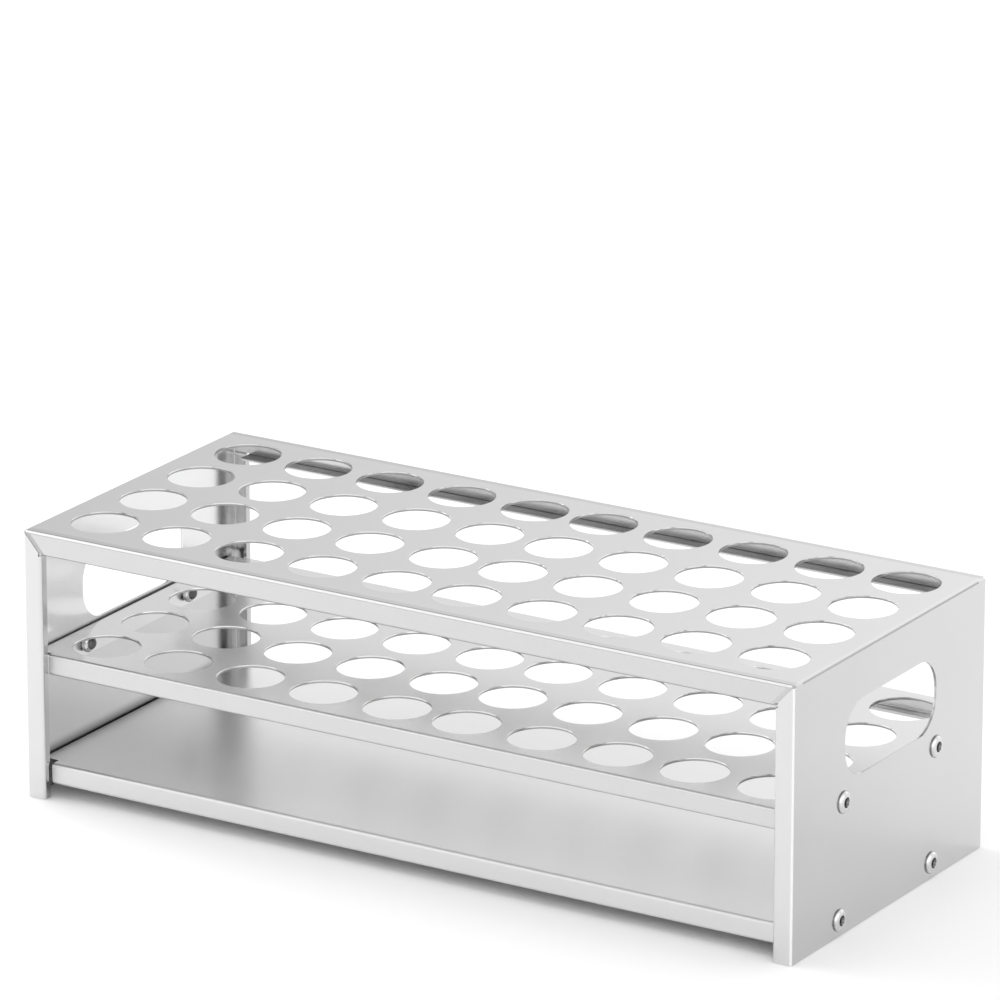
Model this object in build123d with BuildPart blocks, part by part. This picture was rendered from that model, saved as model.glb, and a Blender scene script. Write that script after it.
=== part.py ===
from build123d import *
import math
import os

# Test tube rack folded from thin stainless sheet.
#
# One bent shell makes the perforated top and the two side panels. A perforated middle shelf lines the
# tubes up, a solid bottom shelf carries them, and eight blind rivets hold the shelves to the panels.
#
# Millimetres. X runs along the rack, +Y to its rear and +Z up. The origin is on the ground under its middle.

# Overall size of the rack.
length = 256.5
width = 110.0
height = 82.0

# Sheet metal. Bends are measured on the outside.
sheet = 0.8
bend = 1.0

# Tube holes: four rows of ten, in two groups of five columns with a slightly closer pair in the middle.
hole_radius = 10.0
pitch = 25.0
middle_pitch = 23.3
columns_each_side = 5
rows = 4
rows_set_back = 0.4

# Edges of the shell's front and rear openings: how wide each flange is, how deep its edge is folded in,
# and how far the side folds stop below the top ones.
top_flange = 6.9
top_fold = 5.0
side_flange = 6.2
side_fold = 2.8
fold_gap = 0.4

# Welded corners of those flanges: a fine seam along the mitre and a pit at its outer end.
seam_width = 0.3
seam_depth = 0.35
pit_radius = 0.4
pit_inset = 0.5
pit_depth = 1.4

# Hand hole in each side panel.
handle_length = 52.4
handle_height = 22.5
handle_corner = 10.0
handle_centre = 56.0

# Both shelves are trays turned upside down.
shelf_set_back = 3.0
shelf_flange = 6.3
shelf_fold = 4.0
tab_depth = 8.5
middle_top = 44.0
bottom_top = 10.4

# Notches in the shelves' corners: how long they are along the flange, and how deep into the plate.
middle_notch = 5.5
middle_notch_depth = 1.6
bottom_notch = 6.0
bottom_notch_depth = 3.5

# Blind rivets, given along their axis from the panel's outer face.
rivet_spread = 53.0
rivet_radius = 2.0
rivet_bore = 1.2
rivet_head_radius = 3.3
rivet_head_height = 1.05
rivet_rim = 0.25
recess_radius = 1.55
recess_depth = 0.8
bulge_radius = 2.8
bulge_length = 2.2
middle_rivet_z = 39.4
middle_rivet_shift = 0.0
bottom_rivet_z = 4.9
bottom_rivet_shift = -1.8

# What is left of each rivet's mandrel after it snaps.
stub_break = 0.35
stub_head_radius = 1.9
stub_head_length = 1.3

# Worked out from the above.
grip = 2 * sheet
shelf_length = length - 2 * sheet
shelf_width = width - 2 * shelf_set_back
half_columns = [middle_pitch / 2 + pitch * n for n in range(columns_each_side)]
column_places = [-x for x in reversed(half_columns)] + half_columns
row_places = [rows_set_back + pitch * (n - (rows - 1) / 2) for n in range(rows)]
hole_places = [(x, y) for y in row_places for x in column_places]
sides = {"left": -1, "right": 1}
ends = {"front": -1, "rear": 1}


def fold_section(plane, depth):
    """Section of a flange's edge folded in by depth. The plane's origin is the fold's outer corner."""
    start = -2 * bend
    with BuildSketch(plane) as section:
        with BuildLine():
            FilletPolyline((start, 0), (0, 0), (0, depth), radius=bend)
            Line((0, depth), (-sheet, depth))
            FilletPolyline((-sheet, depth), (-sheet, sheet), (start, sheet), radius=bend - sheet)
            Line((start, sheet), (start, 0))
        make_face()
    return section.sketch


def folded_edges(half_length, face, bottom, depth):
    """The folds under a front and a rear flange, whose outer faces are at -face and +face."""
    with BuildPart() as folds:
        for end in ends.values():
            plane = Plane((-half_length, end * face, bottom), x_dir=(0, 0, -1), z_dir=(-end, 0, 0))
            extrude(fold_section(plane, depth), amount=2 * half_length, dir=(1, 0, 0))
    return folds.part


def tube_holes(top):
    """The pattern of tube holes on the level plane at top."""
    with BuildSketch(Plane.XY.offset(top)) as pattern:
        with Locations(*hole_places):
            Circle(hole_radius)
    return pattern.sketch


def rivet_holes(level, shift):
    """The two rivet holes of one level, seen along X."""
    with BuildSketch(Plane.YZ) as pattern:
        with Locations((shift, level)):
            with GridLocations(rivet_spread, 0, 2, 1):
                Circle(rivet_radius)
    return pattern.sketch


def tray(top, notch, notch_depth):
    """A plate with folded front and rear flanges, a deeper flat tab at each end and notched corners."""
    half_flange = shelf_length / 2 - notch
    flange_bottom = top - shelf_flange
    with BuildPart() as made:
        with BuildSketch(Plane.XY.offset(top)):
            Rectangle(shelf_length, shelf_width)
        extrude(amount=-tab_depth)
        fillet(made.edges().group_by(Axis.Z)[-1], bend)
        offset(amount=-sheet, openings=made.faces().sort_by(Axis.Z)[0])
        with BuildSketch(Plane.XY.offset(top)):
            with GridLocations(shelf_length - notch, shelf_width - notch_depth, 2, 2):
                Rectangle(notch, notch_depth)
        extrude(amount=-tab_depth, mode=Mode.SUBTRACT)
        # Both long sides are cut back to where the bends of their folded edges start.
        with BuildSketch(Plane.XZ):
            with Locations((0, flange_bottom + bend)):
                Rectangle(2 * half_flange, tab_depth, align=(Align.CENTER, Align.MAX))
        extrude(amount=shelf_width, both=True, mode=Mode.SUBTRACT)
        add(folded_edges(half_flange, shelf_width / 2, flange_bottom, shelf_fold))
    return made.part


# The shell: top plate, side panels and the flanges round the front and rear openings.
with BuildPart() as shell:
    with BuildSketch():
        Rectangle(length, width)
    extrude(amount=height)
    fillet(shell.edges().filter_by(Axis.Z) + shell.edges().group_by(Axis.Z)[-1], bend)
    offset(amount=-sheet, openings=shell.faces().sort_by(Axis.Z)[0])

    # The openings are cut back to where the bends of their folded edges start.
    with BuildSketch(Plane.XZ):
        opening_length = length - 2 * (side_flange - bend)
        Rectangle(opening_length, height - top_flange + bend, align=(Align.CENTER, Align.MIN))
    extrude(amount=width, both=True, mode=Mode.SUBTRACT)
    add(folded_edges(length / 2 - side_flange, width / 2, height - top_flange, top_fold))
    for side in sides.values():
        for end in ends.values():
            corner = (side * (length / 2 - side_flange), end * width / 2, 0)
            plane = Plane(corner, x_dir=(-side, 0, 0), z_dir=(0, 0, side * end))
            extrude(fold_section(plane, side_fold), amount=height - top_flange - fold_gap, dir=(0, 0, 1))

    # Mitre seams, with a pit where the three bends of a corner meet.
    seam_angle = math.degrees(math.atan2(top_flange, side_flange))
    for side in sides.values():
        for end in ends.values():
            with BuildSketch(Plane.XZ.offset(-end * width / 2)):
                with Locations((side * (length - side_flange) / 2, height - top_flange / 2)):
                    SlotOverall(math.hypot(side_flange, top_flange), seam_width, rotation=side * seam_angle)
            extrude(amount=end * seam_depth, mode=Mode.SUBTRACT)
            with BuildSketch(Plane.XZ.offset(-end * width / 2)):
                with Locations((side * (length / 2 - pit_inset), height - pit_inset)):
                    Circle(pit_radius)
            extrude(amount=end * pit_depth, mode=Mode.SUBTRACT)

    with BuildSketch(Plane.YZ):
        with Locations((0, handle_centre)):
            RectangleRounded(handle_length, handle_height, handle_corner)
    extrude(amount=length, both=True, mode=Mode.SUBTRACT)
    extrude(tube_holes(height), amount=-2 * sheet, mode=Mode.SUBTRACT)
    extrude(rivet_holes(middle_rivet_z, middle_rivet_shift), amount=length, both=True, mode=Mode.SUBTRACT)
    extrude(rivet_holes(bottom_rivet_z, bottom_rivet_shift), amount=length, both=True, mode=Mode.SUBTRACT)

with BuildPart() as middle_shelf:
    add(tray(middle_top, middle_notch, middle_notch_depth))
    extrude(tube_holes(middle_top), amount=-2 * sheet, mode=Mode.SUBTRACT)
    extrude(rivet_holes(middle_rivet_z, middle_rivet_shift), amount=length, both=True, mode=Mode.SUBTRACT)

with BuildPart() as bottom_shelf:
    add(tray(bottom_top, bottom_notch, bottom_notch_depth))
    extrude(rivet_holes(bottom_rivet_z, bottom_rivet_shift), amount=length, both=True, mode=Mode.SUBTRACT)


def rivet_section(plane):
    """Half section of a set blind rivet: domed head with a recess, hollow shank and swollen blind end."""
    dome_edge = (rivet_rim, rivet_head_radius)
    dome_top = (rivet_head_height, recess_radius)
    dome_middle = (0.8 * rivet_head_height, (rivet_head_radius + recess_radius) / 2 + 0.1)
    recess_bottom = (rivet_head_height - recess_depth, rivet_bore)
    blind_end = -grip - bulge_length
    with BuildSketch(plane) as section:
        with BuildLine():
            ThreePointArc(dome_edge, dome_middle, dome_top)
            Polyline(dome_top, recess_bottom, (blind_end, rivet_bore), (blind_end, rivet_radius))
            swell = (-grip - bulge_length / 2, bulge_radius)
            ThreePointArc((blind_end, rivet_radius), swell, (-grip, rivet_radius))
            Polyline((-grip, rivet_radius), (0, rivet_radius), (0, rivet_head_radius), dome_edge)
        make_face()
    return section.sketch


def stub_section(plane):
    """Half section of the mandrel left in a rivet: a snapped stem and the round head that set the rivet."""
    blind_end = -grip - bulge_length
    tip = blind_end - stub_head_length
    with BuildSketch(plane) as section:
        with BuildLine():
            Polyline((tip, 0), (-stub_break, 0), (-stub_break, rivet_bore), (blind_end, rivet_bore))
            Line((blind_end, rivet_bore), (blind_end, stub_head_radius))
            TangentArc((tip, 0), (blind_end, stub_head_radius), tangent=(0, 1))
        make_face()
    return section.sketch


levels = {"middle": (middle_rivet_z, middle_rivet_shift), "bottom": (bottom_rivet_z, bottom_rivet_shift)}
fasteners = []
for level_name, (level, shift) in levels.items():
    for side_name, side in sides.items():
        for end_name, end in ends.items():
            centre = (side * length / 2, shift + end * rivet_spread / 2, level)
            outwards = Plane(centre, x_dir=(side, 0, 0), z_dir=(0, -side, 0))
            axis = Axis(centre, (1, 0, 0))
            place = f"{level_name}_{side_name}_{end_name}"
            with BuildPart() as rivet:
                revolve(rivet_section(outwards), axis=axis)
            rivet.part.label = f"rivet_{place}"
            fasteners.append(rivet.part)
            with BuildPart() as stub:
                revolve(stub_section(outwards), axis=axis)
            stub.part.label = f"mandrel_stub_{place}"
            fasteners.append(stub.part)

shell.part.label = "shell"
middle_shelf.part.label = "middle_shelf"
bottom_shelf.part.label = "bottom_shelf"

os.makedirs("parts", exist_ok=True)
for piece in [shell.part, middle_shelf.part, bottom_shelf.part] + fasteners:
    export_step(piece, f"parts/{piece.label}.step")
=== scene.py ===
import math

import bpy
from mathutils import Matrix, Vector


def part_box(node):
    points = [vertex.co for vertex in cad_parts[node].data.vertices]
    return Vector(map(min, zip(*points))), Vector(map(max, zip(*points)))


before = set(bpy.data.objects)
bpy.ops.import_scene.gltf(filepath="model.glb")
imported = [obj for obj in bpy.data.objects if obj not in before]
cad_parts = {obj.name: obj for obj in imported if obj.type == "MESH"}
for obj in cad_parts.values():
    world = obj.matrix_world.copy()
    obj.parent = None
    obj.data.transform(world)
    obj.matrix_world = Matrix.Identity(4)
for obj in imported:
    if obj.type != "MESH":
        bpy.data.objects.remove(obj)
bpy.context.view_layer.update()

scene = bpy.context.scene
scene.view_settings.view_transform = "Standard"

# Sizes in metres. The rack's own and its shelves' levels come from the model's parts, and the rest repeat the
# CAD's.
half_length, half_width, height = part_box("shell")[1]
shelf_tops = {name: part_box(name)[1].z for name in ("middle_shelf", "bottom_shelf")}
SHEET = 0.0008
BEND = 0.001
RIVET_HEAD = 0.0033
RIVET_RECESS = 0.00155
TOP_FLANGE = 0.0069
SIDE_FLANGE = 0.0062
TOP_FOLD = 0.005
SIDE_FOLD = 0.0028

# Looks. Lengths in metres, grain in streaks per metre, and shades and roughnesses as the shader takes them.
SOFT = 0.0001
WELD_WIDTH = 0.0016
BURNISHED_PART = 0.41
GRAIN_ALONG = 60.0
GRAIN_ACROSS = 1600.0
GRAIN_HEIGHT = 0.00002
SMUDGE_SHADE = 0.03
MOTTLE_SHADE = 0.02
SMUDGE_ROUGHNESS = 0.04
BRIGHTEST = 0.95
PAINTED_BEND_HIGHLIGHT = 0.8
BEND_ROUGHNESS = 0.5


# Camera: a long lens, in front of the rack, to its right and above it.
def look_at(thing, target):
    direction = Vector(target) - thing.location
    thing.rotation_euler = direction.to_track_quat("-Z", "Y").to_euler()


CAMERA_AZIMUTH = math.radians(31.735)
CAMERA_ELEVATION = math.radians(18.295)
CAMERA_DISTANCE = 2.285
camera_target = Vector((-0.0002, 0.0, 0.0978))
camera = bpy.data.objects.new("camera", bpy.data.cameras.new("camera"))
scene.collection.objects.link(camera)
level = math.cos(CAMERA_ELEVATION)
camera.location = camera_target + CAMERA_DISTANCE * Vector((
    math.sin(CAMERA_AZIMUTH) * level,
    -math.cos(CAMERA_AZIMUTH) * level,
    math.sin(CAMERA_ELEVATION),
))
look_at(camera, camera_target)
camera.data.sensor_width = 36.0
camera.data.lens = 288.0
camera.data.clip_start = 0.05
camera.data.clip_end = 50.0
scene.camera = camera


class Graph:
    """A node tree with short ways to add nodes and join them."""

    def __init__(self, tree):
        self.tree = tree
        tree.nodes.clear()

    def put(self, socket, value):
        if isinstance(value, bpy.types.NodeSocket):
            self.tree.links.new(value, socket)
        else:
            socket.default_value = value

    def add(self, kind, settings=None, **inputs):
        made = self.tree.nodes.new(kind)
        for name, value in (settings or {}).items():
            setattr(made, name, value)
        for name, value in inputs.items():
            self.put(made.inputs[name.replace("_", " ")], value)
        return made

    def math(self, operation, first, second=0.0):
        made = self.tree.nodes.new("ShaderNodeMath")
        made.operation = operation
        self.put(made.inputs[0], first)
        self.put(made.inputs[1], second)
        return made.outputs[0]

    def product(self, first, *others):
        for other in others:
            first = self.math("MULTIPLY", first, other)
        return first

    def ramp(self, value, low, high, start=0.0, end=1.0, smooth=True):
        """Takes value from start to end as it goes from low to high, and holds it outside."""
        made = self.tree.nodes.new("ShaderNodeMapRange")
        made.interpolation_type = "SMOOTHSTEP" if smooth else "LINEAR"
        self.put(made.inputs["Value"], value)
        made.inputs["From Min"].default_value = low
        made.inputs["From Max"].default_value = high
        self.put(made.inputs["To Min"], start)
        self.put(made.inputs["To Max"], end)
        return made.outputs["Result"]

    def mix(self, share, first, second):
        """A plain number between first and second."""
        made = self.tree.nodes.new("ShaderNodeMix")
        made.data_type = "FLOAT"
        self.put(made.inputs["Factor"], share)
        self.put(made.inputs["A"], first)
        self.put(made.inputs["B"], second)
        return made.outputs["Result"]

    def noise(self, vector, scale, detail=2.0, roughness=0.5):
        made = self.add("ShaderNodeTexNoise", Vector=vector, Scale=scale, Detail=detail, Roughness=roughness)
        return made.outputs["Fac"]

    def stretched(self, vector, x, y, z):
        made = self.add("ShaderNodeVectorMath", {"operation": "MULTIPLY"})
        self.put(made.inputs[0], vector)
        made.inputs[1].default_value = (x, y, z)
        return made.outputs[0]


def satin_steel(name, brightness, roughness, grain_depth=0.04, upright=None, plate_top=None, details=None):
    """Satin stainless sheet with its rolling grain, faint smudges and punched edges.

    upright(graph, x, z) is 1 where the sheet is bent down, so that its grain stands up. plate_top is the
    height of a punched plate's top face. details(graph, shade, rough, stands, x, y, z) adds what only that
    piece has.
    """
    material = bpy.data.materials.new(name)
    material.use_nodes = True
    graph = Graph(material.node_tree)
    where = graph.add("ShaderNodeTexCoord").outputs["Object"]
    x, y, z = graph.add("ShaderNodeSeparateXYZ", Vector=where).outputs

    # Grain: fine streaks along the sheet's rolling direction.
    lying = graph.stretched(where, GRAIN_ALONG, GRAIN_ACROSS, GRAIN_ACROSS)
    grain = graph.noise(lying, 1.0, 3.0, 0.6)
    stands = 0.0
    if upright:
        standing = graph.stretched(where, GRAIN_ACROSS, GRAIN_ACROSS, GRAIN_ALONG)
        stands = upright(graph, x, z)
        grain = graph.mix(stands, grain, graph.noise(standing, 1.0, 3.0, 0.6))
    # Smudges and the faint mottle of a handled sheet.
    smudge = graph.noise(where, 38.0, 3.0, 0.55)
    mottle = graph.noise(where, 260.0, 2.0, 0.5)

    # Each noise is 0.5 on average, so half of its share is taken off first.
    shade = brightness - (SMUDGE_SHADE + MOTTLE_SHADE + grain_depth) / 2
    for noise, share in ((grain, grain_depth), (smudge, SMUDGE_SHADE), (mottle, MOTTLE_SHADE)):
        shade = graph.math("ADD", shade, graph.product(noise, share))
    rough = roughness - SMUDGE_ROUGHNESS / 2 - grain_depth
    for noise, share in ((grain, 2 * grain_depth), (smudge, SMUDGE_ROUGHNESS)):
        rough = graph.math("ADD", rough, graph.product(noise, share))

    if details:
        shade, rough = details(graph, shade, rough, stands, x, y, z)

    if plate_top is not None:
        # Walls of the punched holes: a burnished upper band over a torn, duller lower one.
        normal = graph.add("ShaderNodeTexCoord").outputs["Normal"]
        tilt = graph.add("ShaderNodeSeparateXYZ", Vector=normal).outputs[2]
        steep = graph.ramp(graph.math("ABSOLUTE", tilt), 0.75, 0.55)
        inside = graph.ramp(graph.math("ABSOLUTE", y), half_width - 0.9 * TOP_FOLD, half_width - TOP_FOLD)
        in_plate = graph.ramp(z, plate_top - SHEET - 2 * SOFT, plate_top - SHEET)
        wall = graph.product(steep, inside, in_plate)
        torn = graph.ramp(z, plate_top - (BURNISHED_PART - 0.05) * SHEET,
                          plate_top - (BURNISHED_PART + 0.05) * SHEET)
        wall_shade = graph.mix(torn, min(brightness + 0.1, BRIGHTEST), brightness * 0.62)
        wall_rough = graph.mix(torn, 0.22, 0.5)
        shade = graph.mix(wall, shade, wall_shade)
        rough = graph.mix(wall, rough, wall_rough)

    colour = graph.add("ShaderNodeCombineColor", Red=shade, Green=shade, Blue=shade)
    bump = graph.add("ShaderNodeBump", Strength=1.2 * grain_depth, Distance=GRAIN_HEIGHT, Height=grain)
    shader = graph.add("ShaderNodeBsdfPrincipled", Base_Color=colour.outputs[0], Metallic=1.0,
                       Roughness=rough, Normal=bump.outputs[0])
    graph.add("ShaderNodeOutputMaterial", Surface=shader.outputs[0])
    return material


def mitre_side(graph, x, z):
    """How far above the shell's mitre lines a point is: negative on the panels and the upright flanges."""
    inwards = graph.math("SUBTRACT", half_length, graph.math("ABSOLUTE", x))
    down = graph.math("SUBTRACT", height, z)
    return graph.math("SUBTRACT", graph.math("MULTIPLY", inwards, TOP_FLANGE / SIDE_FLANGE), down)


def near_edge(graph, place, face):
    """1 within half a bend's radius of a face, and 0 further in."""
    return graph.ramp(place, face - 0.65 * BEND, face - 0.5 * BEND)


def shell_details(graph, shade, rough, stands, x, y, z):
    """Painted light and shade that differ over the shell, and its bends' roughness."""
    off_middle = graph.math("ABSOLUTE", y)
    off_centre = graph.math("ABSOLUTE", x)
    outside = graph.ramp(off_middle, half_width - 2 * SOFT, half_width - SOFT)
    # Painted reflection and shade: the plate is painted darker at its left and the panels darker at their
    # fronts, both darker than the flanges, of which the upright ones are painted the brightest.
    level = graph.ramp(z, height - 0.7 * SHEET, height - 0.3 * SHEET)
    panel = graph.product(graph.ramp(off_centre, half_length - 0.7 * SHEET, half_length - 0.3 * SHEET),
                          graph.ramp(off_middle, half_width - 0.3 * BEND, half_width - BEND))
    changes = [
        graph.mix(level, 1.0, graph.ramp(x, -half_length, half_length, 0.8, 0.9, False)),
        graph.mix(panel, 1.0, graph.ramp(y, -half_width, half_width, 0.87, 0.95, False)),
        graph.mix(outside, 1.0, graph.mix(stands, 0.92, 1.04)),
    ]

    # Ground-back welds above the mitres, with painted shade that makes them darker towards the left.
    past = graph.product(mitre_side(graph, x, z), SIDE_FLANGE / math.hypot(TOP_FLANGE, SIDE_FLANGE))
    weld_and_shade = graph.product(graph.ramp(past, -SOFT, SOFT), graph.ramp(past, WELD_WIDTH, WELD_WIDTH - 5 * SOFT),
                         outside)
    changes.append(graph.mix(weld_and_shade, 1.0, graph.ramp(x, -half_length, half_length, 0.74, 0.92)))
    rough = graph.mix(weld_and_shade, rough, 0.42)

    # Painted shade on the folded edges: upright along the side flanges, and level along the top ones, which
    # lie in the shadow of the plate.
    folded = graph.product(graph.ramp(off_middle, half_width - 5 * SOFT, half_width - 9 * SOFT),
                           graph.ramp(off_centre, half_length - SHEET, half_length - 2 * SHEET))
    fold_level = height - TOP_FLANGE
    fold_end = half_width - SIDE_FOLD
    side_fold = graph.product(folded, graph.ramp(off_middle, fold_end - 2 * SOFT, fold_end),
                              graph.ramp(z, fold_level, fold_level - 3 * SOFT))
    changes.append(graph.mix(side_fold, 1.0, 0.75))
    fold_end = half_width - TOP_FOLD
    top_fold = graph.product(folded, graph.ramp(off_middle, fold_end - 2 * SOFT, fold_end),
                             graph.ramp(z, fold_level + 1.6 * SHEET, fold_level + SHEET),
                             graph.ramp(z, fold_level + 0.4 * SHEET, fold_level + 0.8 * SHEET))
    changes.append(graph.mix(top_fold, 1.0, 0.35))

    # Painted shade on the panels' inner faces: a contact shadow just above each shelf, and the lower bay
    # painted darker than the upper.
    inside = graph.product(graph.ramp(off_centre, half_length - 0.5 * SHEET, half_length - 0.7 * SHEET),
                           graph.ramp(off_middle, half_width - SIDE_FOLD, half_width - SIDE_FOLD - 4 * SOFT))
    for shelf, reach, dark in (("middle_shelf", 0.0014, 0.35), ("bottom_shelf", 0.004, 0.2)):
        top = shelf_tops[shelf]
        near = graph.product(graph.ramp(z, top + reach, top - 5 * SOFT),
                             graph.ramp(z, top - 15 * SOFT, top - SHEET))
        changes.append(graph.mix(graph.product(near, inside), 1.0, dark))
    parting = shelf_tops["middle_shelf"]
    changes.append(graph.mix(inside, 1.0, graph.ramp(z, parting - 0.002, parting, 0.83, 1.14)))
    shade = graph.product(shade, *changes)

    # Painted highlights along the middles of the bends round the front and rear faces.
    other = graph.math("MAXIMUM", near_edge(graph, z, height), near_edge(graph, off_centre, half_length))
    bent = graph.product(near_edge(graph, off_middle, half_width), other)
    shade = graph.mix(bent, graph.math("MINIMUM", shade, BRIGHTEST), PAINTED_BEND_HIGHLIGHT)
    return shade, graph.mix(bent, rough, BEND_ROUGHNESS)


def shell_upright(graph, x, z):
    """1 on the side panels and their flanges, up to the mitre lines."""
    return graph.ramp(mitre_side(graph, x, z), SOFT / 2, -SOFT / 2)


def tray_details(shelf, flange_share, left_share):
    """Painted light and shade of a shelf: its flanges, the highlights on their bends, its plate's left part,
    and the painted shadow on its end bends.
    """
    half_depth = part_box(shelf)[1].y

    def find(graph, shade, rough, stands, x, y, z):
        off_middle = graph.math("ABSOLUTE", y)
        reach = half_length - SHEET
        end = graph.ramp(graph.math("ABSOLUTE", x), reach - BEND, reach - 0.2 * BEND)
        flange = graph.ramp(off_middle, half_depth - 3 * SOFT, half_depth - SOFT)
        left = graph.ramp(x, -half_length, 0.0, left_share, 1.0)
        # Painted shadow on the end bends, where the shelf meets the panels; painted shade on the flanges and
        # painted light on the plate's left part.
        shade = graph.product(shade, graph.mix(end, 1.0, 0.3), graph.mix(flange, left, flange_share))
        # Painted highlights along the bends above the flanges.
        bent = graph.product(near_edge(graph, off_middle, half_depth),
                             near_edge(graph, z, shelf_tops[shelf]))
        shade = graph.mix(bent, graph.math("MINIMUM", shade, BRIGHTEST), PAINTED_BEND_HIGHLIGHT)
        return shade, graph.mix(flange, rough, 0.45)
    return find


def rivet_details(level):
    """Painted shade on a level's rivet heads by the distance from their axes: a painted shadow in the recess
    and round the rim.
    """
    axes = []
    for end in ("front", "rear"):
        low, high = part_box(f"rivet_{level}_right_{end}")
        axes.append((low + high) / 2)

    def find(graph, shade, rough, stands, x, y, z):
        off_axis = [graph.math("ABSOLUTE", graph.math("SUBTRACT", y, axis.y)) for axis in axes]
        across = graph.math("MINIMUM", *off_axis)
        up = graph.math("SUBTRACT", z, axes[0].z)
        squares = graph.math("ADD", graph.product(across, across), graph.product(up, up))
        radius = graph.math("SQRT", squares)
        # Painted shadow in the recess and round the rim of each head.
        recess = graph.ramp(radius, RIVET_RECESS + SOFT, RIVET_RECESS - SOFT)
        rim = graph.ramp(radius, RIVET_HEAD - 3 * SOFT, RIVET_HEAD)
        return graph.product(shade, graph.mix(recess, 1.0, 0.3), graph.mix(rim, 1.0, 0.4)), rough
    return find


def tray_upright(graph, x, z):
    """1 on the end tabs of a shelf."""
    reach = half_length - 2 * SHEET
    return graph.ramp(graph.math("ABSOLUTE", x), reach - SHEET / 2, reach)


def dress(node, material):
    """Gives a CAD node this material in each of its slots."""
    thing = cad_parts[node]
    if not thing.material_slots:
        thing.data.materials.append(material)
    for slot in thing.material_slots:
        slot.material = material


# The sheets' brightnesses and the shelves' flange and left shares are painted light and shade: the bottom
# shelf, in the lower bay, is painted brightest.
dress("shell", satin_steel("shell_satin_steel", 0.67, 0.2, 0.024, shell_upright, height, shell_details))
dress("middle_shelf", satin_steel("middle_shelf_satin_steel", 0.73, 0.24, 0.014, tray_upright,
                                  shelf_tops["middle_shelf"], tray_details("middle_shelf", 0.9, 1.0)))
dress("bottom_shelf", satin_steel("bottom_shelf_satin_steel", 0.84, 0.3, 0.012, tray_upright,
                                  details=tray_details("bottom_shelf", 0.85, 1.13)))
# The mandrel stubs are painted very dark: partly their own darker steel, partly painted shade of the deep
# recesses they sit in.
mandrel_steel = satin_steel("mandrel_steel", 0.16, 0.5)
for level in ("middle", "bottom"):
    rivet_steel = satin_steel(f"{level}_rivet_steel", 0.66, 0.28, details=rivet_details(level))
    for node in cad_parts:
        if node.startswith(f"rivet_{level}_"):
            dress(node, rivet_steel)
        elif node.startswith(f"mandrel_stub_{level}_"):
            dress(node, mandrel_steel)

# Floor: a wide, pale, faintly mottled disc, a hair below the rack.
FLOOR_RADIUS = 7.0
FLOOR_CORNERS = 96
FLOOR_LEVEL = -0.0001
FLOOR_SHADE = 0.93
ring = []
for corner in range(FLOOR_CORNERS):
    turn = 2 * math.pi * corner / FLOOR_CORNERS
    ring.append((FLOOR_RADIUS * math.cos(turn), FLOOR_RADIUS * math.sin(turn), FLOOR_LEVEL))
floor_mesh = bpy.data.meshes.new("floor")
floor_mesh.from_pydata(ring, [], [list(range(FLOOR_CORNERS))])
floor = bpy.data.objects.new("floor", floor_mesh)
scene.collection.objects.link(floor)
floor_material = bpy.data.materials.new("pale_floor")
floor_material.use_nodes = True
graph = Graph(floor_material.node_tree)
where = graph.add("ShaderNodeTexCoord").outputs["Object"]
pale = graph.math("ADD", FLOOR_SHADE, graph.product(graph.noise(where, 6.0), 0.02))
colour = graph.add("ShaderNodeCombineColor", Red=pale, Green=pale, Blue=pale)
shader = graph.add("ShaderNodeBsdfPrincipled", Base_Color=colour.outputs[0], Roughness=0.9)
graph.add("ShaderNodeOutputMaterial", Surface=shader.outputs[0])
floor.data.materials.append(floor_material)

# Studio: a pale surround with soft glows low round the rack, a soft box over it and one at its left. Each
# glow has the direction that it comes from, in degrees anticlockwise from the rack's right, and its strength.
# A glow is centred GLOW_RISE above the horizon, is whole up to GLOW_CORE off it, and ends GLOW_EDGE off it.
BASE_GLOW = 0.45
GLOW_RISE = 12.0
GLOW_CORE = 8.0
GLOW_EDGE = 48.0
LOW_GLOWS = {"right": (0, 1.04), "rear_right": (45, 0.36), "rear": (90, 0.88), "left": (180, 2.0),
             "front_left": (225, 0.6), "front_right": (315, 1.3)}
world = bpy.data.worlds.new("studio")
scene.world = world
world.use_nodes = True
graph = Graph(world.node_tree)
direction = graph.add("ShaderNodeTexCoord").outputs["Generated"]
glow = BASE_GLOW
for azimuth, strength in LOW_GLOWS.values():
    turn = math.radians(azimuth)
    rise = math.radians(GLOW_RISE)
    facing = graph.add("ShaderNodeVectorMath", {"operation": "DOT_PRODUCT"})
    graph.put(facing.inputs[0], direction)
    facing.inputs[1].default_value = (math.cos(turn) * math.cos(rise), math.sin(turn) * math.cos(rise),
                                      math.sin(rise))
    lobe = graph.ramp(facing.outputs["Value"], math.cos(math.radians(GLOW_EDGE)),
                      math.cos(math.radians(GLOW_CORE)), 0.0, strength)
    glow = graph.math("ADD", glow, lobe)
background = graph.add("ShaderNodeBackground", Strength=glow)
background.inputs["Color"].default_value = (1.0, 1.0, 1.0, 1.0)
graph.add("ShaderNodeOutputWorld", Surface=background.outputs[0])


RACK_MIDDLE = (0.0, 0.0, 0.04)


def soft_box(name, place, width, depth, brightness):
    """A rectangular lamp that faces the rack and has this radiance whatever its size."""
    lamp = bpy.data.lights.new(name, "AREA")
    lamp.shape = "RECTANGLE"
    lamp.size = width
    lamp.size_y = depth
    lamp.energy = math.pi * width * depth * brightness
    thing = bpy.data.objects.new(name, lamp)
    scene.collection.objects.link(thing)
    thing.location = place
    look_at(thing, RACK_MIDDLE)


soft_box("box_over", (0.0, 0.0, 4.0), 3.0, 3.0, 1.5)
soft_box("box_left", (-0.9, 0.0, 0.45), 0.6, 0.5, 2.2)
